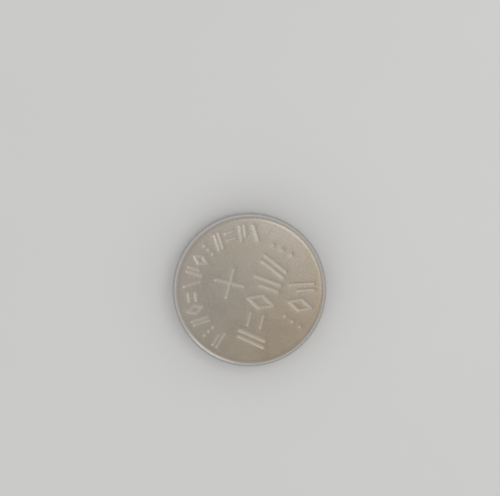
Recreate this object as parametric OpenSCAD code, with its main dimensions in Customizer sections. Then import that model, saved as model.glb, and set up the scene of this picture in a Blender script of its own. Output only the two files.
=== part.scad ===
// Button cell: a crimped steel can (positive) closed by a stepped cap
// (negative) on a moulded seal, with the electrode stack inside.
// Millimetres. +Z is the cell's axis and points out of the positive face.
// The origin is the centre of the negative contact face, on which the cell lies.

/* [Cell] */
// Outside diameter of the can
cell_d = 9.5; // [6.8:0.1:11.6]
// Height from the negative contact face to the positive face
cell_h = 1.65; // [1.4:0.05:2.7]

/* [Positive can] */
// Sheet thickness of the can
can_t = 0.18; // [0.14:0.01:0.22]
// Outside radius where the positive face turns into the wall
face_corner_r = 0.42; // [0.34:0.01:0.52]
// Outside radius of the rolled rim
crimp_r = 0.4; // [0.32:0.01:0.5]
// How far the straight lip past the roll leans towards the cap, in degrees
lip_lean = 10; // [0:1:16]
// Length of the straight lip past the roll
lip_length = 0.24; // [0.16:0.01:0.32]
// How far the rolled rim stays above the negative contact face
rim_recess = 0.06; // [0.04:0.01:0.1]

/* [Negative cap] */
// Sheet thickness of the cap
cap_t = 0.15; // [0.1:0.01:0.18]
// Width of the open groove between the can's lip and the cap's step
groove_w = 0.32; // [0.24:0.01:0.4]
// Outside radius round the edge of the contact face
contact_corner_r = 0.2; // [0.18:0.01:0.26]
// Fillet between the step and the shoulder
step_fillet_r = 0.08; // [0.04:0.01:0.1]
// Outside radius where the shoulder turns into the skirt
shoulder_corner_r = 0.19; // [0.16:0.01:0.26]

/* [Seal] */
// Thickness between the can's wall and the cap's skirt
seal_wall = 0.16; // [0.12:0.01:0.2]
// Thickness where the can's lip pinches it against the cap's shoulder
seal_pinch = 0.09; // [0.06:0.01:0.12]
// Thickness under the end of the cap's skirt
seal_foot = 0.11; // [0.08:0.01:0.14]
// Thickness of the short leg inside the skirt
seal_leg = 0.12; // [0.08:0.01:0.15]
// Width of the bead squeezed out past the can's lip
bead_w = 0.15; // [0.1:0.01:0.2]
// How far the bead stands out beyond the inner edge of the can's lip
bead_h = 0.1; // [0.04:0.01:0.14]

/* [Cathode] */
// Thickness of the pressed cathode pellet
pellet_t = 0.38; // [0.3:0.01:0.46]
// Sheet thickness of the support ring
ring_t = 0.08; // [0.05:0.01:0.1]
// Height of the support ring's rim
ring_h = 0.13; // [0.11:0.01:0.2]
// Width of the support ring's flange
ring_flange_w = 0.6; // [0.4:0.05:0.8]

/* [Separator stack] */
// Thickness of the barrier film on the cathode
barrier_t = 0.06; // [0.02:0.01:0.08]
// Thickness of the separator film
separator_t = 0.03; // [0.02:0.01:0.04]
// Thickness of the soaked absorbent disc, as compressed
absorbent_t = 0.16; // [0.1:0.01:0.25]

/* [Fit] */
// Clearance round each piece where its sides face another
fit = 0.005; // [0.003:0.001:0.01]

/* [Hidden] */
$fn = 96;

// Steps in each quarter of a drawn radius
ARC_STEPS = 8;
// How much of the skirt's straight height the seal's inner leg covers
LEG_SHARE = 0.5;

// Can, seen in section: radius along X, height along Z
can_r = cell_d / 2;
bore_r = can_r - can_t;                          // inside of the wall
corner_c = [can_r - face_corner_r, cell_h - face_corner_r];
roll_c = [can_r - crimp_r, rim_recess + crimp_r]; // centre of the rolled rim
roll_end = -90 - lip_lean;                        // where the roll becomes the lip
lip_way = [cos(roll_end - 90), sin(roll_end - 90)]; // along the lip, to the cap
out_way = [cos(roll_end), sin(roll_end)];         // square to the lip, outwards
lip_in = roll_c + (crimp_r - can_t) * out_way + lip_length * lip_way;
lip_out = lip_in + can_t * out_way;

// Stack, from the can's floor towards the cap
floor_z = cell_h - can_t;
cathode_z = floor_z - pellet_t;
barrier_z = cathode_z - barrier_t;
separator_z = barrier_z - separator_t;
absorbent_z = separator_z - absorbent_t;
film_r = bore_at(cathode_z) - fit;

// Cap
shoulder_z = lip_in[1] + fit + seal_pinch + fit;  // outside of the shoulder
skirt_r = bore_r - fit - seal_wall - fit;
skirt_in_r = skirt_r - cap_t;
skirt_end_z = separator_z - seal_foot;
contact_r = lip_in[0] - groove_w;
contact_c = [contact_r - contact_corner_r, contact_corner_r];
fillet_c = [contact_r + step_fillet_r, shoulder_z - step_fillet_r];
shoulder_c = [skirt_r - shoulder_corner_r, shoulder_z + shoulder_corner_r];

// Seal
seal_r = bore_r - fit;
leg_r = skirt_in_r - fit - seal_leg;
leg_end_z = skirt_end_z - LEG_SHARE * (skirt_end_z - shoulder_c[1]);

// Cathode
ring_r = bore_at(cathode_z + ring_h + fit) - fit;
pellet_r = ring_r - ring_t - fit;
pellet_edge_r = min(face_corner_r - can_t, pellet_t - ring_t - fit);

// Radius of the room inside the can at a height, less towards its floor
function bore_at(z) =
    let (rise = max(0, z - corner_c[1]))
    corner_c[0] + sqrt(pow(face_corner_r - can_t, 2) - pow(rise, 2));

function on_circle(centre, r, angle) = centre + r * [cos(angle), sin(angle)];

// Points round an arc, both ends included
function arc(centre, r, from, to) =
    let (steps = max(1, ceil(abs(to - from) / 90 * ARC_STEPS)))
    [for (i = [0:steps]) on_circle(centre, r, from + (to - from) * i / steps)];

// A solid of revolution from a section in radius and height
module turned(section) {
    rotate_extrude() polygon(section);
}

// Deep-drawn cup: the flat positive face, its corner, the wall, and the rim
// rolled in over the seal, all at one sheet thickness
module positive_can() {
    color([0.62, 0.58, 0.53])
    turned(concat(
        [[0, cell_h]],
        arc(corner_c, face_corner_r, 90, 0),
        arc(roll_c, crimp_r, 0, roll_end),
        [lip_out, lip_in],
        arc(roll_c, crimp_r - can_t, roll_end, 0),
        arc(corner_c, face_corner_r - can_t, 0, 90),
        [[0, floor_z]]
    ));
}

// Drawn cap: the raised contact face, a step, the shoulder that the rolled
// rim clamps, and the skirt that stands in the seal's groove
module negative_cap() {
    color([0.74, 0.73, 0.71])
    turned(concat(
        [[0, 0]],
        arc(contact_c, contact_corner_r, -90, 0),
        arc(fillet_c, step_fillet_r, 180, 90),
        arc(shoulder_c, shoulder_corner_r, -90, 0),
        [[skirt_r, skirt_end_z], [skirt_in_r, skirt_end_z]],
        arc(shoulder_c, shoulder_corner_r - cap_t, 0, -90),
        arc(fillet_c, step_fillet_r + cap_t, 90, 180),
        arc(contact_c, contact_corner_r - cap_t, 0, -90),
        [[0, cap_t]]
    ));
}

// Moulded ring between can and cap: its foot stands on the separator, its
// groove holds the skirt, and its lip is folded over the shoulder by the rim
module seal_gasket() {
    neck = lip_in - fit * out_way + fit * lip_way;  // beside the lip's inner edge
    bead_c = neck + bead_w / 2 * lip_way;
    bead = [
        for (i = [0:2 * ARC_STEPS])
        let (turn = i / ARC_STEPS * 90)
        bead_c - bead_w / 2 * cos(turn) * lip_way + bead_h * sin(turn) * out_way
    ];
    color([0.16, 0.16, 0.17])
    turned(concat(
        [[leg_r, separator_z], [seal_r, separator_z]],
        arc(roll_c, crimp_r - can_t - fit, 0, roll_end),
        bead,
        [[neck[0] - bead_w, shoulder_z - fit]],
        arc(shoulder_c, shoulder_corner_r + fit, -90, 0),
        [
            [skirt_r + fit, skirt_end_z],
            [skirt_in_r - fit, skirt_end_z],
            [skirt_in_r - fit, leg_end_z],
            [leg_r, leg_end_z]
        ]
    ));
}

// Angled ring pressed round the pellet's edge, which carries the seal's foot
module support_ring() {
    color([0.62, 0.62, 0.6])
    turned([
        [ring_r - ring_flange_w, cathode_z],
        [ring_r, cathode_z],
        [ring_r, cathode_z + ring_h],
        [ring_r - ring_t, cathode_z + ring_h],
        [ring_r - ring_t, cathode_z + ring_t],
        [ring_r - ring_flange_w, cathode_z + ring_t]
    ]);
}

// Pressed disc with a rebate for the ring, and an edge rounded as the can is
module cathode_pellet() {
    edge_c = [pellet_r - pellet_edge_r, floor_z - pellet_edge_r];
    rebate_r = ring_r - ring_flange_w - fit;
    rebate_z = cathode_z + ring_t;
    color([0.2, 0.19, 0.19])
    turned(concat(
        [
            [0, cathode_z],
            [rebate_r, cathode_z],
            [rebate_r, rebate_z],
            [pellet_r, rebate_z]
        ],
        arc(edge_c, pellet_edge_r, 0, 90),
        [[0, floor_z]]
    ));
}

// A flat disc that fills the can's bore or the seal's opening
module disc(r, low_z, t) {
    translate([0, 0, low_z]) cylinder(r = r, h = t);
}

module barrier_film() {
    color([0.84, 0.84, 0.8]) disc(film_r, barrier_z, barrier_t);
}

module separator_film() {
    color([0.88, 0.8, 0.58]) disc(film_r, separator_z, separator_t);
}

module absorbent_disc() {
    color([0.92, 0.91, 0.87]) disc(leg_r - fit, absorbent_z, absorbent_t);
}

// Zinc gel, which fills the cap up to the absorbent disc
module zinc_anode() {
    inward = [-fit, 0];
    color([0.5, 0.52, 0.54])
    turned(concat(
        [[0, cap_t]],
        arc(contact_c + inward, contact_corner_r - cap_t, -90, 0),
        arc(fillet_c + inward, step_fillet_r + cap_t, 180, 90),
        arc(shoulder_c + inward, shoulder_corner_r - cap_t, -90, 0),
        [
            [skirt_in_r - fit, leg_end_z - fit],
            [leg_r - fit, leg_end_z - fit],
            [leg_r - fit, absorbent_z],
            [0, absorbent_z]
        ]
    ));
}

positive_can();
negative_cap();
seal_gasket();
support_ring();
cathode_pellet();
barrier_film();
separator_film();
absorbent_disc();
zinc_anode();
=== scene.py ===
"""Looks, light and camera for a crimped button cell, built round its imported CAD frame."""

import bisect
import functools
import itertools
import math

import bmesh
import bpy
import numpy as np
from mathutils import Matrix, Vector, noise


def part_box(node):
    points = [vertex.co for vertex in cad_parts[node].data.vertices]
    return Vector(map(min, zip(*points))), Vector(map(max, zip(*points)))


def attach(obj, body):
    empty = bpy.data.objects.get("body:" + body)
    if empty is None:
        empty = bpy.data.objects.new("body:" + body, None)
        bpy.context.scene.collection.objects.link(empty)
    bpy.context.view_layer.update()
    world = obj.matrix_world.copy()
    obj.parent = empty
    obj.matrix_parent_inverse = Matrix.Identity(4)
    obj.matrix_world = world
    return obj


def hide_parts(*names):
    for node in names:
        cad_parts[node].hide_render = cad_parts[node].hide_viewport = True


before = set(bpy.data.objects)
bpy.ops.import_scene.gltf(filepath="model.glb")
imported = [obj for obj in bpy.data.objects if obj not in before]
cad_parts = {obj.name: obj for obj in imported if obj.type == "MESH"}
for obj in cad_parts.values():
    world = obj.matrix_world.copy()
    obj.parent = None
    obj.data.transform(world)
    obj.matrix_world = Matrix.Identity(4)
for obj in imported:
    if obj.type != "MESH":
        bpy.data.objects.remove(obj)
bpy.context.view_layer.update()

# Sections are drawn in millimetres, and meshes are in metres
MM = 0.001
TINY = 1e-6             # millimetres: points nearer to each other than this are one

# ---------------------------------------------------------------------------
# Sizes in millimetres. The overall ones come from the frame, and the sheet
# thicknesses and radii are those of the CAD model.
# ---------------------------------------------------------------------------
CAN_LOW, CAN_HIGH = (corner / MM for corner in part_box("positive_can"))
CAN_R = CAN_HIGH.x
CELL_H = CAN_HIGH.z

CAN_T = 0.18            # can: sheet thickness
FACE_CORNER_R = 0.42    # can: outside radius between face and wall
CRIMP_R = 0.4           # can: outside radius of the rolled rim
LIP_LEAN = 10           # can: lean of the lip past the roll, in degrees
LIP_LENGTH = 0.24       # can: straight lip past the roll

CAP_T = 0.15            # cap: sheet thickness
GROOVE_W = 0.32         # open groove between the can's lip and the cap's step
CONTACT_CORNER_R = 0.2  # cap: radius round the contact face
STEP_FILLET_R = 0.08    # cap: fillet between step and shoulder
SHOULDER_CORNER_R = 0.19  # cap: outside radius between shoulder and skirt

SEAL_WALL = 0.16        # seal: between can and skirt
SEAL_PINCH = 0.09       # seal: between lip and shoulder
SEAL_FOOT = 0.11        # seal: under the skirt's end
SEAL_LEG = 0.12         # seal: inside the skirt
LEG_SHARE = 0.5         # seal: how much of the skirt the leg covers
BEAD_W = 0.15           # seal: width of the bead squeezed out past the lip
BEAD_H = 0.1            # seal: how far the bead stands out

PELLET_T = 0.38         # cathode: thickness
RING_T = 0.08           # support ring: sheet thickness
RING_H = 0.13           # support ring: height of its rim
RING_FLANGE_W = 0.6     # support ring: width of its flange
FIT = 0.005             # clearance round each piece

# Edges of cut or pressed stock are broken by this much
CUT_EDGE = 0.03         # sheet steel
FINE_EDGE = 0.015       # the other pieces

# Mesh fineness
SEGMENTS = 256          # round the can, the cap and the seal
INNER_SEGMENTS = 160    # round the pieces inside
QUARTER_STEPS = 12      # in each quarter of a drawn radius
EDGE_STEPS = 4          # in a broken edge
FACE_STEP = 0.09        # at most, across the can's face and up its wall
INNER_STEP = 0.16       # at most, across the other flat faces
SHARP_ANGLE = 50        # degrees between faces from which their edge is shaded sharp


# ---------------------------------------------------------------------------
# Drawing a section: points in radius and height
# ---------------------------------------------------------------------------
def on_circle(centre, radius, angle):
    turn = math.radians(angle)
    return Vector(centre) + radius * Vector((math.cos(turn), math.sin(turn)))


def arc(centre, radius, start, end):
    """Points round an arc, both ends included."""
    steps = max(2, math.ceil(abs(end - start) / 90 * QUARTER_STEPS))
    turns = (start + (end - start) * i / steps for i in range(steps + 1))
    return [on_circle(centre, radius, turn) for turn in turns]


def spaced(start, end, step):
    """Points along a straight line, no further apart than step, both ends included."""
    start, end = Vector(start), Vector(end)
    count = max(1, math.ceil((end - start).length / step))
    return [start.lerp(end, i / count) for i in range(count + 1)]


def eased(before, corner, after, reach):
    """A small curve in place of a sharp corner, starting and ending reach away from it."""
    before, corner, after = Vector(before), Vector(corner), Vector(after)
    start = corner + (before - corner).normalized() * reach
    end = corner + (after - corner).normalized() * reach
    shares = [i / EDGE_STEPS for i in range(EDGE_STEPS + 1)]
    return [start.lerp(corner, t).lerp(corner.lerp(end, t), t) for t in shares]


def eased_loop(corners, reach, step):
    """A closed section with straight sides, eased at every corner that is off the axis."""
    points = []
    for i, corner in enumerate(corners):
        before, after = corners[i - 1], corners[(i + 1) % len(corners)]
        bend = eased(before, corner, after, reach) if corner[0] > 0 else [Vector(corner)]
        if points:
            points += spaced(points[-1], bend[0], step)[1:-1]
        points += bend
    if corners[0][0] > 0:
        points += spaced(points[-1], points[0], step)[1:-1]
    return points


def distinct(section):
    """A section without the points that repeat the one before them."""
    points = [section[0]]
    for point in section[1:]:
        if (point - points[-1]).length > TINY:
            points.append(point)
    return points


def lengths_along(points):
    """How far each point lies from the first, along the line through them all."""
    steps = ((after - before).length for before, after in itertools.pairwise(points))
    return list(itertools.accumulate(steps, initial=0.0))


# ---------------------------------------------------------------------------
# Values that several sections share
# ---------------------------------------------------------------------------
BORE_R = CAN_R - CAN_T
CORNER_C = Vector((CAN_R - FACE_CORNER_R, CELL_H - FACE_CORNER_R))
ROLL_C = Vector((CAN_R - CRIMP_R, CAN_LOW.z + CRIMP_R))
ROLL_END = -90 - LIP_LEAN
OUT_WAY = on_circle((0, 0), 1, ROLL_END)        # square to the lip, outwards
LIP_WAY = on_circle((0, 0), 1, ROLL_END - 90)   # along the lip, to the cap
LIP_IN = ROLL_C + (CRIMP_R - CAN_T) * OUT_WAY + LIP_LENGTH * LIP_WAY
LIP_OUT = LIP_IN + CAN_T * OUT_WAY

FLOOR_Z = CELL_H - CAN_T
CATHODE_Z = FLOOR_Z - PELLET_T

SHOULDER_Z = LIP_IN.y + FIT + SEAL_PINCH + FIT
SKIRT_R = BORE_R - FIT - SEAL_WALL - FIT
SKIRT_IN_R = SKIRT_R - CAP_T
CONTACT_R = LIP_IN.x - GROOVE_W
CONTACT_C = Vector((CONTACT_R - CONTACT_CORNER_R, CONTACT_CORNER_R))
FILLET_C = Vector((CONTACT_R + STEP_FILLET_R, SHOULDER_Z - STEP_FILLET_R))
SHOULDER_C = Vector((SKIRT_R - SHOULDER_CORNER_R, SHOULDER_Z + SHOULDER_CORNER_R))

SEPARATOR_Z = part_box("separator_film")[0].z / MM
SKIRT_END_Z = SEPARATOR_Z - SEAL_FOOT
SEAL_R = BORE_R - FIT
LEG_R = SKIRT_IN_R - FIT - SEAL_LEG
LEG_END_Z = SKIRT_END_Z - LEG_SHARE * (SKIRT_END_Z - SHOULDER_C.y)

RING_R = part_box("support_ring")[1].x / MM
PELLET_R = RING_R - RING_T - FIT
PELLET_EDGE_R = FACE_CORNER_R - CAN_T


# ---------------------------------------------------------------------------
# Sections
# ---------------------------------------------------------------------------
def can_section():
    lip_back = LIP_OUT - LIP_WAY
    return [
        *spaced((0, CELL_H), (CORNER_C.x, CELL_H), FACE_STEP)[:-1],
        *arc(CORNER_C, FACE_CORNER_R, 90, 0),
        *spaced((CAN_R, CORNER_C.y), (CAN_R, ROLL_C.y), FACE_STEP)[1:-1],
        *arc(ROLL_C, CRIMP_R, 0, ROLL_END),
        *eased(lip_back, LIP_OUT, LIP_IN, CUT_EDGE),
        *eased(LIP_OUT, LIP_IN, LIP_IN - LIP_WAY, CUT_EDGE),
        *arc(ROLL_C, CRIMP_R - CAN_T, ROLL_END, 0),
        *arc(CORNER_C, FACE_CORNER_R - CAN_T, 0, 90),
        Vector((0, FLOOR_Z)),
    ]


def cap_section():
    skirt_out, skirt_in = Vector((SKIRT_R, SKIRT_END_Z)), Vector((SKIRT_IN_R, SKIRT_END_Z))
    down = Vector((0, -1))
    return [
        *spaced((0, 0), (CONTACT_C.x, 0), INNER_STEP)[:-1],
        *arc(CONTACT_C, CONTACT_CORNER_R, -90, 0),
        *arc(FILLET_C, STEP_FILLET_R, 180, 90),
        *arc(SHOULDER_C, SHOULDER_CORNER_R, -90, 0),
        *eased(skirt_out + down, skirt_out, skirt_in, CUT_EDGE),
        *eased(skirt_out, skirt_in, skirt_in + down, CUT_EDGE),
        *arc(SHOULDER_C, SHOULDER_CORNER_R - CAP_T, 0, -90),
        *arc(FILLET_C, STEP_FILLET_R + CAP_T, 90, 180),
        *arc(CONTACT_C, CONTACT_CORNER_R - CAP_T, 0, -90),
        Vector((0, CAP_T)),
    ]


def seal_bead():
    """The crown of nylon that the crimp squeezed out past the lip."""
    neck = LIP_IN - FIT * OUT_WAY + FIT * LIP_WAY
    middle = neck + BEAD_W / 2 * LIP_WAY
    steps = 2 * QUARTER_STEPS
    crown = [
        middle - BEAD_W / 2 * math.cos(turn) * LIP_WAY + BEAD_H * math.sin(turn) * OUT_WAY
        for turn in (math.pi * i / steps for i in range(steps + 1))
    ]
    back = Vector((neck.x - BEAD_W, SHOULDER_Z - FIT))
    return crown + eased(crown[-1], back, back + Vector((1, 0)), FINE_EDGE)


def seal_section():
    up = Vector((0, 1))
    foot_out, foot_in = Vector((SEAL_R, SEPARATOR_Z)), Vector((LEG_R, SEPARATOR_Z))
    leg_out = Vector((SKIRT_IN_R - FIT, LEG_END_Z))
    leg_in = Vector((LEG_R, LEG_END_Z))
    return [
        *eased(foot_in - up, foot_in, foot_out, FINE_EDGE),
        *eased(foot_in, foot_out, foot_out - up, FINE_EDGE),
        *arc(ROLL_C, CRIMP_R - CAN_T - FIT, 0, ROLL_END),
        *seal_bead(),
        *arc(SHOULDER_C, SHOULDER_CORNER_R + FIT, -90, 0),
        Vector((SKIRT_R + FIT, SKIRT_END_Z)),
        Vector((SKIRT_IN_R - FIT, SKIRT_END_Z)),
        *eased(leg_out + up, leg_out, leg_in, FINE_EDGE),
        *eased(leg_out, leg_in, leg_in + up, FINE_EDGE),
    ]


def ring_section():
    flange_r, rim_z = RING_R - RING_FLANGE_W, CATHODE_Z + RING_H
    corners = [
        (flange_r, CATHODE_Z),
        (RING_R, CATHODE_Z),
        (RING_R, rim_z),
        (RING_R - RING_T, rim_z),
        (RING_R - RING_T, CATHODE_Z + RING_T),
        (flange_r, CATHODE_Z + RING_T),
    ]
    return eased_loop(corners, FINE_EDGE, INNER_STEP)


def pellet_section():
    edge_c = Vector((PELLET_R - PELLET_EDGE_R, FLOOR_Z - PELLET_EDGE_R))
    rebate = Vector((RING_R - RING_FLANGE_W - FIT, CATHODE_Z))
    step_in = Vector((rebate.x, CATHODE_Z + RING_T))
    step_out = Vector((PELLET_R, step_in.y))
    return [
        *spaced((0, CATHODE_Z), rebate, INNER_STEP)[:-1],
        *eased((0, CATHODE_Z), rebate, step_in, FINE_EDGE),
        step_in,
        *spaced(step_in, step_out, INNER_STEP)[1:-1],
        *eased(step_in, step_out, edge_c + Vector((PELLET_EDGE_R, 0)), FINE_EDGE),
        *arc(edge_c, PELLET_EDGE_R, 0, 90),
        *spaced((edge_c.x, FLOOR_Z), (0, FLOOR_Z), INNER_STEP)[1:],
    ]


def disc_section(node):
    """A flat disc of the size of a CAD node, with its edges broken."""
    low, high = (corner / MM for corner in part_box(node))
    edge = min(FINE_EDGE, (high.z - low.z) / 3)
    corners = [(0, low.z), (high.x, low.z), (high.x, high.z), (0, high.z)]
    return eased_loop(corners, edge, INNER_STEP)


def anode_section():
    inward = Vector((-FIT, 0))
    absorbent_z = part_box("absorbent_disc")[0].z / MM
    collar = Vector((LEG_R - FIT, LEG_END_Z - FIT))
    return [
        *spaced((0, CAP_T), (CONTACT_C.x - FIT, CAP_T), INNER_STEP)[:-1],
        *arc(CONTACT_C + inward, CONTACT_CORNER_R - CAP_T, -90, 0),
        *arc(FILLET_C + inward, STEP_FILLET_R + CAP_T, 180, 90),
        *arc(SHOULDER_C + inward, SHOULDER_CORNER_R - CAP_T, -90, 0),
        Vector((SKIRT_IN_R - FIT, LEG_END_Z - FIT)),
        collar,
        *spaced((collar.x, absorbent_z), (0, absorbent_z), INNER_STEP),
    ]


# ---------------------------------------------------------------------------
# Meshes
# ---------------------------------------------------------------------------
def add_ring(mesh, point, segments):
    """The vertices of one ring, or a single one on the axis."""
    if point.x < TINY:
        return [mesh.verts.new((0, 0, point.y * MM))]
    radius, height = point.x, point.y * MM
    turns = (2 * math.pi * i / segments for i in range(segments))
    return [
        mesh.verts.new((radius * math.cos(turn) * MM, radius * math.sin(turn) * MM, height))
        for turn in turns
    ]


def join_rings(mesh, first, second):
    """Faces between two neighbouring rings, either of which may be a single vertex."""
    count = max(len(first), len(second))
    for i in range(count):
        after = (i + 1) % count
        corners = [first[i % len(first)], second[i % len(second)]]
        if len(second) > 1:
            corners.append(second[after])
        if len(first) > 1:
            corners.append(first[after])
        mesh.faces.new(corners)


def turned_mesh(section, segments):
    """A closed solid of revolution. A section that leaves the axis also ends on it. Each vertex
    notes how far along the section it lies, in millimetres."""
    mesh = bmesh.new()
    along = mesh.verts.layers.float.new("along")
    points = distinct(section)
    rings = [add_ring(mesh, point, segments) for point in points]
    for ring, length in zip(rings, lengths_along(points)):
        for vertex in ring:
            vertex[along] = length
    for first, second in itertools.pairwise(rings):
        join_rings(mesh, first, second)
    if len(rings[0]) > 1:
        join_rings(mesh, rings[-1], rings[0])
    bmesh.ops.recalc_face_normals(mesh, faces=mesh.faces)
    return mesh


NOISE_GAIN = 1.6        # brings Blender's noise to between -1 and 1


def roughen(mesh, depth, grain, seed):
    """Sinks each vertex by up to depth, by a noise whose lumps are grain across, so that
    nothing comes nearer to its neighbours than the smooth solid does."""
    mesh.normal_update()
    start = Vector((seed, -seed, 2 * seed))
    for vertex in mesh.verts:
        lump = noise.noise(vertex.co / (grain * MM) + start)
        lump = max(-1, min(1, NOISE_GAIN * lump))
        vertex.co -= vertex.normal * depth * MM * (0.5 + 0.5 * lump)


def add_piece(name, mesh, node, material):
    """Turns a finished mesh into the piece that stands for a CAD node."""
    data = bpy.data.meshes.new(name)
    mesh.to_mesh(data)
    mesh.free()
    data.shade_smooth()
    data.set_sharp_from_angle(angle=math.radians(SHARP_ANGLE))
    data.materials.append(material)
    piece = bpy.data.objects.new(name, data)
    bpy.context.scene.collection.objects.link(piece)
    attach(piece, "root")
    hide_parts(node)


# ---------------------------------------------------------------------------
# Stamped marks. The plus sign marks the pole. The others are plain strokes that
# are no letters and no digits, in cells that run from -1 to 1 across and up.
# ---------------------------------------------------------------------------
DOT = 0.02              # length of the stroke that makes a bead
MARKS = {
    "plus": [(-1, 0, 1, 0), (0, -1, 0, 1)],
    "bars": [(-0.5, -1, -0.5, 1), (0.5, -0.4, 0.5, 1)],
    "slants": [(-0.9, -1, 0.0, 1), (0.0, -1, 0.9, 1)],
    "dashes": [(-0.8, 0.5, 0.8, 0.5), (-0.8, -0.5, 0.8, -0.5)],
    "kite": [(-0.9, 0, 0, 1), (0, 1, 0.9, 0), (0.9, 0, 0, -1), (0, -1, -0.9, 0)],
    "stroke": [(0.7, -1, -0.7, 1)],
    "beads": [(0, y, DOT, y) for y in (-0.8, 0, 0.8)],
}
SMALL_ROW = ["stroke", "bars", "dashes", "slants", "beads", "kite", "bars",
             "stroke", "dashes", "kite", "slants", "beads", "bars"]
LARGE_ROW = ["beads", "slants", "bars", "kite", "dashes", "slants"]
SHORT_ROW = ["bars", "kite", "beads"]

# Sizes of the dents, in millimetres
MARK_DEPTH = 0.023
MARK_FLOOR = 0.05       # half the width of a stroke's flat bottom
MARK_EDGE = 0.125       # half the width where it reaches the face
DIP_DEPTH = 0.004       # the face sinks a little round a stroke
DIP_EDGE = 0.34         # half the width of that dip
REFINED = 0.18          # faces this near a stroke's centre line are made smaller

REFINE_TIMES = 2        # how often they are divided
FACE_TOP = (CELL_H - 1e-4) * MM  # in metres: what lies higher is on the flat of the face


def mark(shape, centre, half_w, half_h, turn):
    """The strokes of one mark, as start and end points in millimetres."""
    spin = Matrix.Rotation(math.radians(turn), 2)
    strokes = []
    for x0, y0, x1, y1 in MARKS[shape]:
        start = spin @ Vector((x0 * half_w, y0 * half_h)) + Vector(centre)
        end = spin @ Vector((x1 * half_w, y1 * half_h)) + Vector(centre)
        strokes.append((*start, *end))
    return strokes


def row(shapes, radius, first, step, half_w, half_h, centre=(0, 0)):
    """Marks side by side on an arc, their tops away from its centre. The angles are in degrees.
    A radius below 0 puts them on the other side, with their tops towards the centre."""
    strokes = []
    for i, shape in enumerate(shapes):
        angle = first + i * step
        strokes += mark(shape, on_circle(centre, radius, angle), half_w, half_h, angle - 90)
    return strokes


def face_strokes():
    """Every stroke stamped into the positive face, one to a line of the array."""
    return np.array([
        *mark("plus", centre=(-1.22, 0.43), half_w=0.88, half_h=0.88, turn=-15),
        *row(SMALL_ROW, radius=3.55, first=84, step=12.8, half_w=0.27, half_h=0.44),
        *row(LARGE_ROW, radius=-19.1, first=-27.8, step=3.5, half_w=0.44, half_h=0.8,
             centre=(18.9, -6.4)),
        *row(SHORT_ROW, radius=3.25, first=3, step=-19.5, half_w=0.39, half_h=0.7),
    ])


def gaps_to(points, strokes):
    """How far each point is from the nearest stroke's centre line, in millimetres."""
    starts, ways = strokes[:, :2], strokes[:, 2:] - strokes[:, :2]
    from_start = points[:, None] - starts[None]
    share = (from_start * ways).sum(2) / (ways * ways).sum(1)
    nearest = from_start - np.clip(share, 0, 1)[..., None] * ways
    return np.linalg.norm(nearest, axis=2).min(1)


def ease(value, low, high):
    """0 below low, 1 above high, and smooth between them."""
    share = np.clip((value - low) / (high - low), 0, 1)
    return share * share * (3 - 2 * share)


def refine_face(mesh, strokes):
    """Divides the faces of the positive face that lie near a stroke."""
    for _ in range(REFINE_TIMES):
        flat = [f for f in mesh.faces if all(v.co.z > FACE_TOP for v in f.verts)]
        centres = np.array([f.calc_center_median().xy for f in flat]) / MM
        near = gaps_to(centres, strokes) < REFINED
        edges = dict.fromkeys(e for f, close in zip(flat, near) if close for e in f.edges)
        bmesh.ops.subdivide_edges(mesh, edges=list(edges), cuts=1, use_grid_fill=True)


def stamp_face(mesh, strokes):
    """Presses the strokes into the positive face, and notes on each vertex how far it is
    pressed, from 0 to 1."""
    refine_face(mesh, strokes)
    mark_layer = mesh.verts.layers.float.new("mark")
    flat = [v for v in mesh.verts if v.co.z > FACE_TOP]
    gaps = gaps_to(np.array([v.co.xy for v in flat]) / MM, strokes)
    pressed = 1 - ease(gaps, MARK_FLOOR, MARK_EDGE)
    dipped = 1 - ease(gaps, MARK_FLOOR, DIP_EDGE)
    for vertex, deep, dip in zip(flat, pressed, dipped):
        vertex.co.z -= (MARK_DEPTH * deep + DIP_DEPTH * dip) * MM
        vertex[mark_layer] = deep


# ---------------------------------------------------------------------------
# Maps for baked textures. A cup's face gets the most room, as a
# disc, then the outside of its wall, as strips. Its hidden inside gets the rest.
# ---------------------------------------------------------------------------
MAP_NAME = "OFBake"
STRIPS = 3
STRIP_FILL = 0.97       # the share of a strip's height that it uses, which keeps strips apart

# Low corner, width and height of each place, as shares of the map
FACE_PLACE = (0.002, 0.354, 0.644, 0.644)
OUTSIDE_PLACE = (0.002, 0.002, 0.996, 0.348)
INSIDE_PLACE = (0.652, 0.702, 0.346, 0.296)
FLOOR_PLACE = (0.652, 0.354, 0.342, 0.342)


def turn_of(spot):
    """Which way a spot lies from the axis, from 0 to 1 for a whole turn."""
    return math.atan2(spot.y, spot.x) / math.tau % 1


def lay_disc(faces, layer, place):
    """Places faces on the map as they are seen along the axis."""
    low_x, low_y, wide, high = place
    reach = max(vertex.co.xy.length for face in faces for vertex in face.verts)
    for face in faces:
        for loop in face.loops:
            x, y = loop.vert.co.xy / (2 * reach)
            loop[layer].uv = (low_x + wide * (0.5 + x), low_y + high * (0.5 + y))


def lay_strips(faces, layer, along, place):
    """Unrolls faces on the map, as strips that each hold a share of the way round."""
    low_x, low_y, wide, high = place
    lengths = [vertex[along] for face in faces for vertex in face.verts]
    start, end = min(lengths), max(lengths)
    per_strip = math.ceil(SEGMENTS / STRIPS)
    for face in faces:
        first = int(turn_of(face.calc_center_median()) * SEGMENTS)
        strip, column = divmod(first, per_strip)
        for loop in face.loops:
            steps = (round(turn_of(loop.vert.co) * SEGMENTS) - first) % SEGMENTS
            across = (column + steps) / per_strip
            up = (loop.vert[along] - start) / (end - start) * STRIP_FILL
            loop[layer].uv = (low_x + wide * across, low_y + high * (strip + up) / STRIPS)


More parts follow.
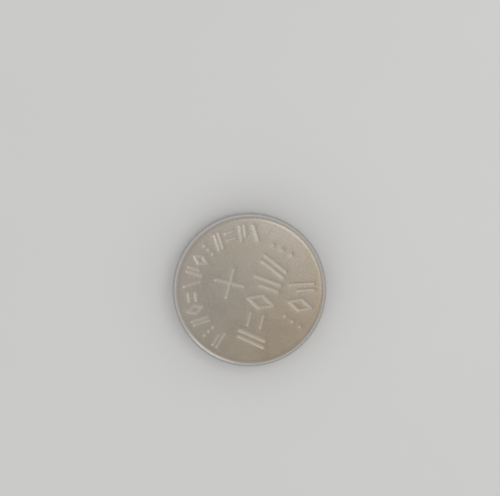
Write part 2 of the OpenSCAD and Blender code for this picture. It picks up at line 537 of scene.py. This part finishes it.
def lay_out_cup(mesh, section, corner, rim):
    """Gives a cup's mesh its map. Its outside runs from the corner round its face to its rim,
    and its inside from there to the floor, with which the section ends."""
    points = distinct(section)
    lengths = lengths_along(points)
    ends = []
    for spot in (corner, rim, points[-2]):
        nearest = min(range(len(points)), key=lambda i: (points[i] - spot).length)
        ends.append(lengths[nearest])

    layer = mesh.loops.layers.uv.new(MAP_NAME)
    along = mesh.verts.layers.float["along"]
    face_part, outside, inside, floor = stretches = [], [], [], []
    for face in mesh.faces:
        middle = sum(vertex[along] for vertex in face.verts) / len(face.verts)
        stretches[bisect.bisect(ends, middle)].append(face)
    lay_disc(face_part, layer, FACE_PLACE)
    lay_strips(outside, layer, along, OUTSIDE_PLACE)
    lay_strips(inside, layer, along, INSIDE_PLACE)
    lay_disc(floor, layer, FLOOR_PLACE)


# ---------------------------------------------------------------------------
# Shader nodes
# ---------------------------------------------------------------------------
SCRATCH_EDGE = 0.04     # how soft the edge of a scratch is


class Shade:
    """The nodes of a material or world. Most methods add one or a few, and return the socket
    to read."""

    def __init__(self, owner):
        owner.use_nodes = True
        self.owner = owner
        self.tree = owner.node_tree
        self.tree.nodes.clear()

    def start(self):
        """Adds the place on the object in millimetres, its height, and its distance from the
        axis."""
        coordinates = self.tree.nodes.new("ShaderNodeTexCoord").outputs["Object"]
        self.place = self.vector("SCALE", coordinates, scale=1 / MM)
        x, y, self.z = self.parts(self.place)
        self.radius = self.length(self.join(x, y, 0.0))
        return self

    def put(self, kind, links, **settings):
        """Adds a node, sets it, and links or sets its inputs, by name or by number."""
        node = self.tree.nodes.new(kind)
        for key, value in settings.items():
            setattr(node, key, value)
        for key, value in links.items():
            if isinstance(value, bpy.types.NodeSocket):
                self.tree.links.new(value, node.inputs[key])
            elif value is not None:
                node.inputs[key].default_value = value
        return node

    def attribute(self, name):
        return self.put("ShaderNodeAttribute", {}, attribute_name=name).outputs["Fac"]

    def vector(self, operation, first, second=None, scale=None):
        links = {0: first, 1: second, "Scale": scale}
        return self.put("ShaderNodeVectorMath", links, operation=operation).outputs[0]

    def length(self, vector):
        return self.put("ShaderNodeVectorMath", {0: vector}, operation="LENGTH").outputs["Value"]

    def dot(self, first, second):
        links = {0: first, 1: second}
        return self.put("ShaderNodeVectorMath", links, operation="DOT_PRODUCT").outputs["Value"]

    def maths(self, operation, first, second, third=None):
        links = {0: first, 1: second, 2: third}
        return self.put("ShaderNodeMath", links, operation=operation).outputs[0]

    def most(self, *values):
        """The highest of several values."""
        return functools.reduce(lambda one, other: self.maths("MAXIMUM", one, other), values)

    def spread(self, value, low, high, new_low=0.0, new_high=1.0):
        """Eases a value from one range to another, and holds it there outside the range."""
        links = {"Value": value, "From Min": low, "From Max": high}
        links |= {"To Min": new_low, "To Max": new_high}
        node = self.put("ShaderNodeMapRange", links, interpolation_type="SMOOTHSTEP")
        return node.outputs["Result"]

    def parts(self, vector):
        node = self.put("ShaderNodeSeparateXYZ", {0: vector})
        return node.outputs["X"], node.outputs["Y"], node.outputs["Z"]

    def join(self, x, y, z):
        return self.put("ShaderNodeCombineXYZ", {"X": x, "Y": y, "Z": z}).outputs[0]

    def turned(self, degrees, shift):
        """The place, turned about the axis and shifted, so that no two patterns are alike."""
        links = {"Vector": self.place, "Rotation": (0, 0, math.radians(degrees)), "Location": shift}
        return self.put("ShaderNodeMapping", links).outputs[0]

    def noise(self, place, scale, detail=2.0, roughness=0.5):
        """Soft lumps from 0 to 1, about scale of them to a millimetre."""
        links = {"Vector": place, "Scale": scale, "Detail": detail, "Roughness": roughness}
        return self.put("ShaderNodeTexNoise", links).outputs[0]

    def stretched_noise(self, place, scales, detail):
        """Lumps with a scale of their own along each axis."""
        return self.noise(self.vector("MULTIPLY", place, scales), 1.0, detail)

    def cells(self, scale, output="Distance"):
        """Grains, scale of them to a millimetre."""
        links = {"Vector": self.place, "Scale": scale}
        return self.put("ShaderNodeTexVoronoi", links).outputs[output]

    def blend(self, share, first, second):
        """Mixes two colours, each a socket or a plain (r, g, b)."""
        node = self.put("ShaderNodeMix", {}, data_type="RGBA")
        for index, value in ((0, share), (6, first), (7, second)):
            if isinstance(value, bpy.types.NodeSocket):
                self.tree.links.new(value, node.inputs[index])
            else:
                node.inputs[index].default_value = (*value, 1)
        return node.outputs[2]

    def relief(self, *layers):
        """Bumps on top of each other, each a height from 0 to 1 and its depth in millimetres."""
        bump = None
        for height, depth in layers:
            links = {"Height": height, "Distance": depth * MM, "Strength": 1.0, "Normal": bump}
            bump = self.put("ShaderNodeBump", links).outputs[0]
        return bump

    def scratches(self, sets):
        """1 along thin straight scratches, 0 elsewhere. Each set of them has the way they run in
        degrees, their length and width, a level that leaves fewer the higher it is, and a seed."""
        lines = []
        for degrees, length, width, level, seed in sets:
            scales = (1 / length, 1 / width, 1 / length)
            streaks = self.stretched_noise(self.turned(degrees, (seed, seed, 0)), scales, 0.0)
            lines.append(self.spread(streaks, level, level + SCRATCH_EDGE))
        return self.most(*lines)

    def hoops(self, count):
        """Fine rings round the axis, about count of them to a millimetre."""
        section = self.join(self.radius, self.z, 0.0)
        return self.noise(self.vector("SCALE", section, scale=count), 1.0)

    def finish(self, shader, output="ShaderNodeOutputMaterial"):
        """Sends a shader out, and returns the material or world."""
        self.put(output, {"Surface": shader.outputs[0]})
        return self.owner

    def principled(self, colour, rough, bump, more):
        """The finished material. More holds other inputs by name."""
        links = {"Base Color": colour, "Roughness": rough, "Normal": bump, **more}
        return self.finish(self.put("ShaderNodeBsdfPrincipled", links))


def new_shade(name):
    return Shade(bpy.data.materials.new(name)).start()


# ---------------------------------------------------------------------------
# Materials. Colours are red, green and blue from 0 to 1.
# ---------------------------------------------------------------------------
# Nickel of the can's face, as the photo shows it
FACE_DARKER = (0.436, 0.387, 0.333)
FACE_LIGHTER = (0.458, 0.409, 0.348)
# Tarnishing, which also carries a painted shade: the face darkens and browns steadily towards one
# side
TARNISH_AND_SHADE = (0.418, 0.343, 0.26)    # towards one side
# A painted glare: lighter nickel near the face's edge on the side away from the painted shade
GLARE_LIGHTER = (0.493, 0.44, 0.383)     # near the edge of the other side
FILMED = (0.436, 0.396, 0.308)      # in patches
STAMPED = (0.58, 0.541, 0.48)       # in the marks

# Nickel of its corner, wall and rim
RUBBED = (0.44, 0.427, 0.402)
# Brighter nickel of the corner, wall and rim, partly a painted light over the dark reflection of
# the contact shadow at the edge
BRIGHTER_NICKEL_AND_PAINTED_LIGHT = (0.52, 0.507, 0.48)
DRAWN = (0.387, 0.365, 0.334)       # in the draw lines

# Sets of scratches, as Shade.scratches takes them
CAN_SCRATCHES = [
    (24, 2.6, 0.034, 0.71, 3),
    (-57, 1.7, 0.03, 0.7, 11),
    (81, 2.1, 0.026, 0.7, 29),
]
CAP_SCRATCHES = [
    (40, 2.2, 0.03, 0.68, 5),
    (-20, 1.4, 0.026, 0.7, 17),
]

HOOPS = 15              # turned lines to a millimetre
FIBRE_WAYS = (12, 71, 131)  # which ways the felt's fibres run, in degrees


def can_material():
    """Satin nickel plating: a fine matt grain on the face, tarnishing in blotches with a painted
    shade that darkens and browns it towards one side, and a painted glare near its edge on the
    other side. It is rubbed off round the corner, with draw lines up the brighter wall and rim,
    whose brightness partly paints light over their reflected contact shadow, and faint handling
    scratches."""
    shade = new_shade("can_nickel")

    # Where one finish turns into another, and where light and shade are painted
    marked = shade.attribute("mark")
    rolled = shade.spread(shade.z, CAN_LOW.z + 0.95 * CRIMP_R, CAN_LOW.z + 0.7 * CRIMP_R)
    rubbed = shade.spread(shade.radius, CORNER_C.x, CORNER_C.x + 0.7 * FACE_CORNER_R)
    rubbed = shade.most(rubbed, rolled)
    # Brighter and smoother from partway round the corner down the wall and rim; its colour partly
    # paints light over the reflected contact shadow
    bright = shade.spread(shade.radius, CORNER_C.x + 0.3 * FACE_CORNER_R, CAN_R - 0.03)
    bright = shade.most(bright, rolled)
    wall = shade.spread(shade.radius, CAN_R - 0.3 * FACE_CORNER_R, CAN_R - 0.02)
    aside = shade.dot(shade.place, (0.7, -0.7, 0.0))
    # A painted glare: lighter near the edge, on the side opposite the painted shade
    near_edge = shade.spread(shade.radius, 2.2, 4.2)
    painted_glare = shade.maths("MULTIPLY", near_edge, shade.spread(aside, 0.2, -2.4))

    # Patterns
    cloud = shade.noise(shade.place, 0.35, detail=2.0, roughness=0.45)
    film = shade.noise(shade.vector("ADD", shade.place, (7.0, 3.0, 5.0)), 0.8, detail=3.0)
    grain = shade.noise(shade.place, 14.0, detail=2.0)
    fine = shade.noise(shade.place, 34.0, detail=1.0)
    drawn = shade.stretched_noise(shade.place, (17, 17, 0.7), detail=3.0)
    hoops = shade.hoops(HOOPS)
    lines = shade.scratches(CAN_SCRATCHES)

    # Tarnishing in blotches, plus a painted shade that darkens the face steadily towards one side
    tarnish_and_shade = shade.spread(shade.maths("MULTIPLY_ADD", cloud, 3.0, aside), 0.0, 6.0)
    dulled = shade.maths("MULTIPLY", wall, shade.spread(drawn, 0.35, 0.75, 0.0, 0.45))
    colour = shade.blend(shade.spread(cloud, 0.35, 0.65), FACE_DARKER, FACE_LIGHTER)
    colour = shade.blend(tarnish_and_shade, colour, TARNISH_AND_SHADE)
    colour = shade.blend(painted_glare, colour, GLARE_LIGHTER)
    colour = shade.blend(shade.spread(film, 0.42, 0.7, 0.0, 0.4), colour, FILMED)
    colour = shade.blend(shade.maths("MULTIPLY", marked, 0.55), colour, STAMPED)
    colour = shade.blend(shade.maths("MULTIPLY", rubbed, 0.8), colour, RUBBED)
    colour = shade.blend(bright, colour, BRIGHTER_NICKEL_AND_PAINTED_LIGHT)
    colour = shade.blend(dulled, colour, DRAWN)

    rough = shade.spread(grain, 0.3, 0.7, 0.29, 0.34)
    rough = shade.maths("ADD", rough, shade.spread(film, 0.35, 0.7, -0.03, 0.06))
    rough = shade.maths("MULTIPLY_ADD", lines, -0.09, rough)
    rough = shade.maths("MULTIPLY_ADD", marked, 0.08, rough)
    rough = shade.maths("MULTIPLY_ADD", bright, -0.1, rough)
    streaks = shade.spread(drawn, 0.3, 0.7, -0.05, 0.07)
    rough = shade.maths("MULTIPLY_ADD", wall, streaks, rough)

    bump = shade.relief(
        (grain, 0.0005),
        (fine, 0.0004),
        (shade.maths("MULTIPLY", drawn, wall), 0.002),
        (shade.maths("MULTIPLY", hoops, rolled), 0.002),
        (shade.maths("MULTIPLY", lines, -1), 0.001),
    )
    return shade.principled(colour, rough, bump, {"Metallic": 1.0})


def cap_material():
    """Bright nickel: smooth, with fine turned lines and the marks of spring contacts."""
    shade = new_shade("cap_nickel")
    hoops = shade.hoops(HOOPS)
    cloud = shade.noise(shade.place, 0.5, detail=3.0)
    grain = shade.noise(shade.place, 24.0, detail=1.0)
    lines = shade.scratches(CAP_SCRATCHES)
    clouded = shade.spread(cloud, 0.35, 0.65)
    colour = shade.blend(clouded, (0.5, 0.474, 0.432), (0.55, 0.527, 0.487))
    rough = shade.spread(hoops, 0.3, 0.7, 0.2, 0.27)
    rough = shade.maths("MULTIPLY_ADD", lines, 0.1, rough)
    sunk = shade.maths("MULTIPLY", lines, -1)
    bump = shade.relief((hoops, 0.0014), (grain, 0.0005), (sunk, 0.001))
    return shade.principled(colour, rough, bump, {"Metallic": 1.0})


def seal_material():
    """Dark moulded nylon, faintly mottled, with a matt moulding grain."""
    shade = new_shade("seal_nylon")
    mottle = shade.noise(shade.place, 3.0, detail=3.0)
    grain = shade.noise(shade.place, 30.0, detail=2.0)
    colour = shade.blend(mottle, (0.035, 0.035, 0.038), (0.06, 0.058, 0.056))
    rough = shade.spread(grain, 0.3, 0.7, 0.38, 0.5)
    return shade.principled(colour, rough, shade.relief((grain, 0.002)), {"IOR": 1.53})


def ring_material():
    """Plated sheet steel with rolling lines."""
    shade = new_shade("ring_steel")
    streaks = shade.stretched_noise(shade.place, (1.5, 30, 6), detail=3.0)
    stain = shade.noise(shade.place, 1.2, detail=2.0)
    stained = shade.spread(stain, 0.35, 0.7)
    colour = shade.blend(stained, (0.6, 0.59, 0.56), (0.52, 0.5, 0.46))
    rough = shade.spread(streaks, 0.3, 0.7, 0.24, 0.38)
    return shade.principled(colour, rough, shade.relief((streaks, 0.001)), {"Metallic": 1.0})


def cathode_material():
    """Pressed silver oxide with graphite: near black, granular, with a dull metallic glint."""
    shade = new_shade("silver_oxide")
    grains = shade.cells(16.0)
    tones = shade.parts(shade.cells(16.0, output="Color"))[0]
    glint = shade.spread(tones, 0.8, 0.95)
    pressed = shade.noise(shade.place, 2.5, detail=4.0)
    colour = shade.blend(pressed, (0.05, 0.046, 0.045), (0.11, 0.1, 0.098))
    colour = shade.blend(shade.maths("MULTIPLY", glint, 0.5), colour, (0.3, 0.29, 0.28))
    rough = shade.spread(glint, 0.0, 1.0, 0.68, 0.4)
    metal = shade.maths("MULTIPLY", glint, 0.6)
    return shade.principled(colour, rough, shade.relief((grains, 0.004)), {"Metallic": metal})


def film_material(name, thin, thick, rough, clear):
    """A translucent film with soft ripples, in one colour where it is thin and another where it
    is thick. Clear is the share of light let through."""
    shade = new_shade(name)
    ripple = shade.stretched_noise(shade.place, (0.9, 2.4, 1), detail=3.0)
    speck = shade.noise(shade.place, 22.0, detail=2.0)
    colour = shade.blend(shade.spread(ripple, 0.3, 0.7), thin, thick)
    gloss = shade.spread(speck, 0.3, 0.7, rough, rough + 0.12)
    bump = shade.relief((ripple, 0.01), (speck, 0.001))
    return shade.principled(colour, gloss, bump, {"Transmission Weight": clear, "IOR": 1.47})


def absorbent_material():
    """Nonwoven fibre: crossing strands in three directions, with a soft fuzzy sheen."""
    shade = new_shade("absorbent")
    strands = shade.most(*(
        shade.stretched_noise(shade.turned(way, (way, 0, 0)), (1.3, 26, 20), detail=1.0)
        for way in FIBRE_WAYS
    ))
    pores = shade.noise(shade.place, 6.0, detail=2.0)
    colour = shade.blend(shade.spread(strands, 0.5, 0.75), (0.7, 0.685, 0.63), (0.9, 0.89, 0.86))
    colour = shade.blend(shade.spread(pores, 0.5, 0.8, 0.0, 0.35), colour, (0.62, 0.61, 0.57))
    bump = shade.relief((strands, 0.012))
    return shade.principled(colour, 0.92, bump, {"Sheen Weight": 0.2})


def anode_material():
    """Zinc powder in gel: grey metal grains under a wet film."""
    shade = new_shade("zinc_gel")
    grains = shade.cells(9.0)
    tones = shade.parts(shade.cells(9.0, output="Color"))[1]
    between = shade.spread(grains, 0.35, 0.7)
    colour = shade.blend(tones, (0.3, 0.32, 0.34), (0.52, 0.54, 0.56))
    colour = shade.blend(between, colour, (0.16, 0.17, 0.18))
    metal = shade.spread(between, 0.0, 1.0, 0.85, 0.15)
    bump = shade.relief((shade.maths("SUBTRACT", 1.0, grains), 0.012))
    wet = {"Metallic": metal, "Coat Weight": 0.6, "Coat Roughness": 0.12}
    return shade.principled(colour, 0.42, bump, wet)


# ---------------------------------------------------------------------------
# The pieces. Depths and grains of rough ones are in millimetres.
# ---------------------------------------------------------------------------
def make_can():
    section = can_section()
    mesh = turned_mesh(section, SEGMENTS)
    stamp_face(mesh, face_strokes())
    lay_out_cup(mesh, section, corner=on_circle(CORNER_C, FACE_CORNER_R, 45), rim=LIP_IN)
    add_piece("can_shell", mesh, "positive_can", can_material())


def make_cap():
    section = cap_section()
    mesh = turned_mesh(section, SEGMENTS)
    corner = on_circle(CONTACT_C, CONTACT_CORNER_R, -45)
    lay_out_cup(mesh, section, corner, rim=Vector((SKIRT_IN_R, SKIRT_END_Z)))
    add_piece("cap_shell", mesh, "negative_cap", cap_material())


def make_seal():
    mesh = turned_mesh(seal_section(), SEGMENTS)
    add_piece("seal_ring", mesh, "seal_gasket", seal_material())


def make_support_ring():
    mesh = turned_mesh(ring_section(), INNER_SEGMENTS)
    add_piece("pellet_ring", mesh, "support_ring", ring_material())


def make_cathode():
    mesh = turned_mesh(pellet_section(), INNER_SEGMENTS)
    roughen(mesh, depth=0.004, grain=0.12, seed=3)
    add_piece("cathode", mesh, "cathode_pellet", cathode_material())


def make_barrier():
    mesh = turned_mesh(disc_section("barrier_film"), INNER_SEGMENTS)
    thin, thick = (0.74, 0.74, 0.7), (0.82, 0.82, 0.79)
    material = film_material("barrier", thin, thick, rough=0.38, clear=0.25)
    add_piece("barrier_sheet", mesh, "barrier_film", material)


def make_cellophane():
    mesh = turned_mesh(disc_section("separator_film"), INNER_SEGMENTS)
    thin, thick = (0.86, 0.76, 0.5), (0.78, 0.66, 0.38)
    material = film_material("cellophane", thin, thick, rough=0.1, clear=0.7)
    add_piece("cellophane_sheet", mesh, "separator_film", material)


def make_absorbent():
    mesh = turned_mesh(disc_section("absorbent_disc"), INNER_SEGMENTS)
    roughen(mesh, depth=0.012, grain=0.22, seed=7)
    add_piece("absorbent_felt", mesh, "absorbent_disc", absorbent_material())


def make_anode():
    mesh = turned_mesh(anode_section(), INNER_SEGMENTS)
    roughen(mesh, depth=0.01, grain=0.16, seed=13)
    add_piece("zinc_fill", mesh, "zinc_anode", anode_material())


# ---------------------------------------------------------------------------
# Floor, light and camera
# ---------------------------------------------------------------------------
FLOOR_HALF = 3.0        # metres
FLOOR_CELLS = 24
FLOOR_COLOUR = (0.785, 0.782, 0.776)
FLOOR_MOTTLED = tuple(0.985 * part for part in FLOOR_COLOUR)
FADE_FROM, FADE_TO = 14, 110  # millimetres from the cell, where floor turns into background

# How bright the studio is all round at eye level, higher up, and overhead, beside white
HORIZON = 0.93
UPPER = 0.64
ZENITH = 0.57
UPPER_FROM, UPPER_FULL = 0.12, 0.7      # sines of the heights between which one turns into
ZENITH_FROM, ZENITH_FULL = 0.8, 0.97    # the next


def floor_material():
    """Pale matt floor that turns into the background far from the cell. It keeps its shadows."""
    shade = new_shade("floor_pale")
    far = shade.spread(shade.radius, FADE_FROM, FADE_TO)
    pale = shade.blend(shade.noise(shade.place, 0.15, detail=2.0), FLOOR_COLOUR, FLOOR_MOTTLED)
    matt = shade.put("ShaderNodeBsdfDiffuse", {"Color": pale})
    glow = shade.put("ShaderNodeEmission", {"Strength": HORIZON})
    rays = shade.tree.nodes.new("ShaderNodeLightPath").outputs
    kinds = ("Is Camera Ray", "Is Glossy Ray", "Is Transmission Ray")
    share = shade.maths("MULTIPLY", far, shade.most(*(rays[kind] for kind in kinds)))
    links = {0: share, 1: matt.outputs[0], 2: glow.outputs[0]}
    return shade.finish(shade.put("ShaderNodeMixShader", links))


def make_floor():
    mesh = bmesh.new()
    bmesh.ops.create_grid(mesh, x_segments=FLOOR_CELLS, y_segments=FLOOR_CELLS, size=FLOOR_HALF)
    data = bpy.data.meshes.new("floor")
    mesh.to_mesh(data)
    mesh.free()
    data.materials.append(floor_material())
    floor = bpy.data.objects.new("floor", data)
    bpy.context.scene.collection.objects.link(floor)


def light_world():
    """Soft light from all round, brightest near eye level."""
    shade = Shade(bpy.data.worlds.new("studio"))
    way = shade.tree.nodes.new("ShaderNodeTexCoord").outputs["Generated"]
    height = shade.parts(way)[2]
    level = shade.spread(height, UPPER_FROM, UPPER_FULL, HORIZON, UPPER)
    change = shade.spread(height, ZENITH_FROM, ZENITH_FULL, 0.0, ZENITH - UPPER)
    links = {"Color": (1, 1, 1, 1), "Strength": shade.maths("ADD", level, change)}
    background = shade.put("ShaderNodeBackground", links)
    bpy.context.scene.world = shade.finish(background, "ShaderNodeOutputWorld")


def add_lamp(name, place, aim, size, level, colour=(1, 1, 1)):
    """A square soft lamp, placed and aimed in millimetres from the cell. Its level is how
    bright its face is, beside a white background's 1."""
    lamp = bpy.data.lights.new(name, "AREA")
    lamp.size = size * MM
    lamp.energy = level * math.pi * lamp.size ** 2
    lamp.color = colour
    holder = bpy.data.objects.new(name, lamp)
    holder.location = Vector(place) * MM
    way = (Vector(aim) - Vector(place)).normalized()
    holder.rotation_euler = way.to_track_quat("-Z", "Y").to_euler()
    holder.visible_camera = False
    bpy.context.scene.collection.objects.link(holder)


def add_lamps():
    """The overhead lamp mirrors in the face, most towards its upper right. The key lamp comes
    from the lower left, and picks out the corner and the marks."""
    add_lamp("overhead", place=(17, 8.5, 47), aim=(10, 5, 0), size=25, level=1.14)
    warm = (1.0, 0.99, 0.97)
    add_lamp("key", place=(-59, -103, 54), aim=(0, 0, 1), size=76, level=0.6, colour=warm)


# The camera looks almost straight down, from a little above and to the left of the cell in
# the picture, which lies below the middle of the frame
VIEW_DISTANCE = 110 * MM
TILT, TILT_TOWARDS = 4, 135     # degrees
CELL_SHARE = 0.309              # the cell's width, as a share of the frame's
CELL_DROP = 0.0845              # how far it lies below the middle, as a share of that width
SENSOR = 36                     # its width in millimetres


def aim_camera():
    frame_w = 2 * CAN_R * MM / CELL_SHARE
    camera = bpy.data.cameras.new("camera")
    camera.sensor_width = SENSOR
    camera.lens = SENSOR * VIEW_DISTANCE / frame_w
    camera.clip_start = 1 * MM
    holder = bpy.data.objects.new("camera", camera)
    lean, way = math.radians(TILT), math.radians(TILT_TOWARDS)
    back = Vector((math.sin(lean) * math.cos(way), math.sin(lean) * math.sin(way), math.cos(lean)))
    right = Vector((0, 1, 0)).cross(back).normalized()
    up = back.cross(right)
    target = Vector((0, 0, CELL_H * MM)) + up * CELL_DROP * frame_w
    turn = Matrix((right, up, back)).transposed().to_4x4()
    holder.matrix_world = Matrix.Translation(target + back * VIEW_DISTANCE) @ turn
    bpy.context.scene.collection.objects.link(holder)
    bpy.context.scene.camera = holder


make_can()
make_cap()
make_seal()
make_support_ring()
make_cathode()
make_barrier()
make_cellophane()
make_absorbent()
make_anode()
make_floor()
light_world()
add_lamps()
aim_camera()
bpy.context.scene.view_settings.view_transform = "Standard"
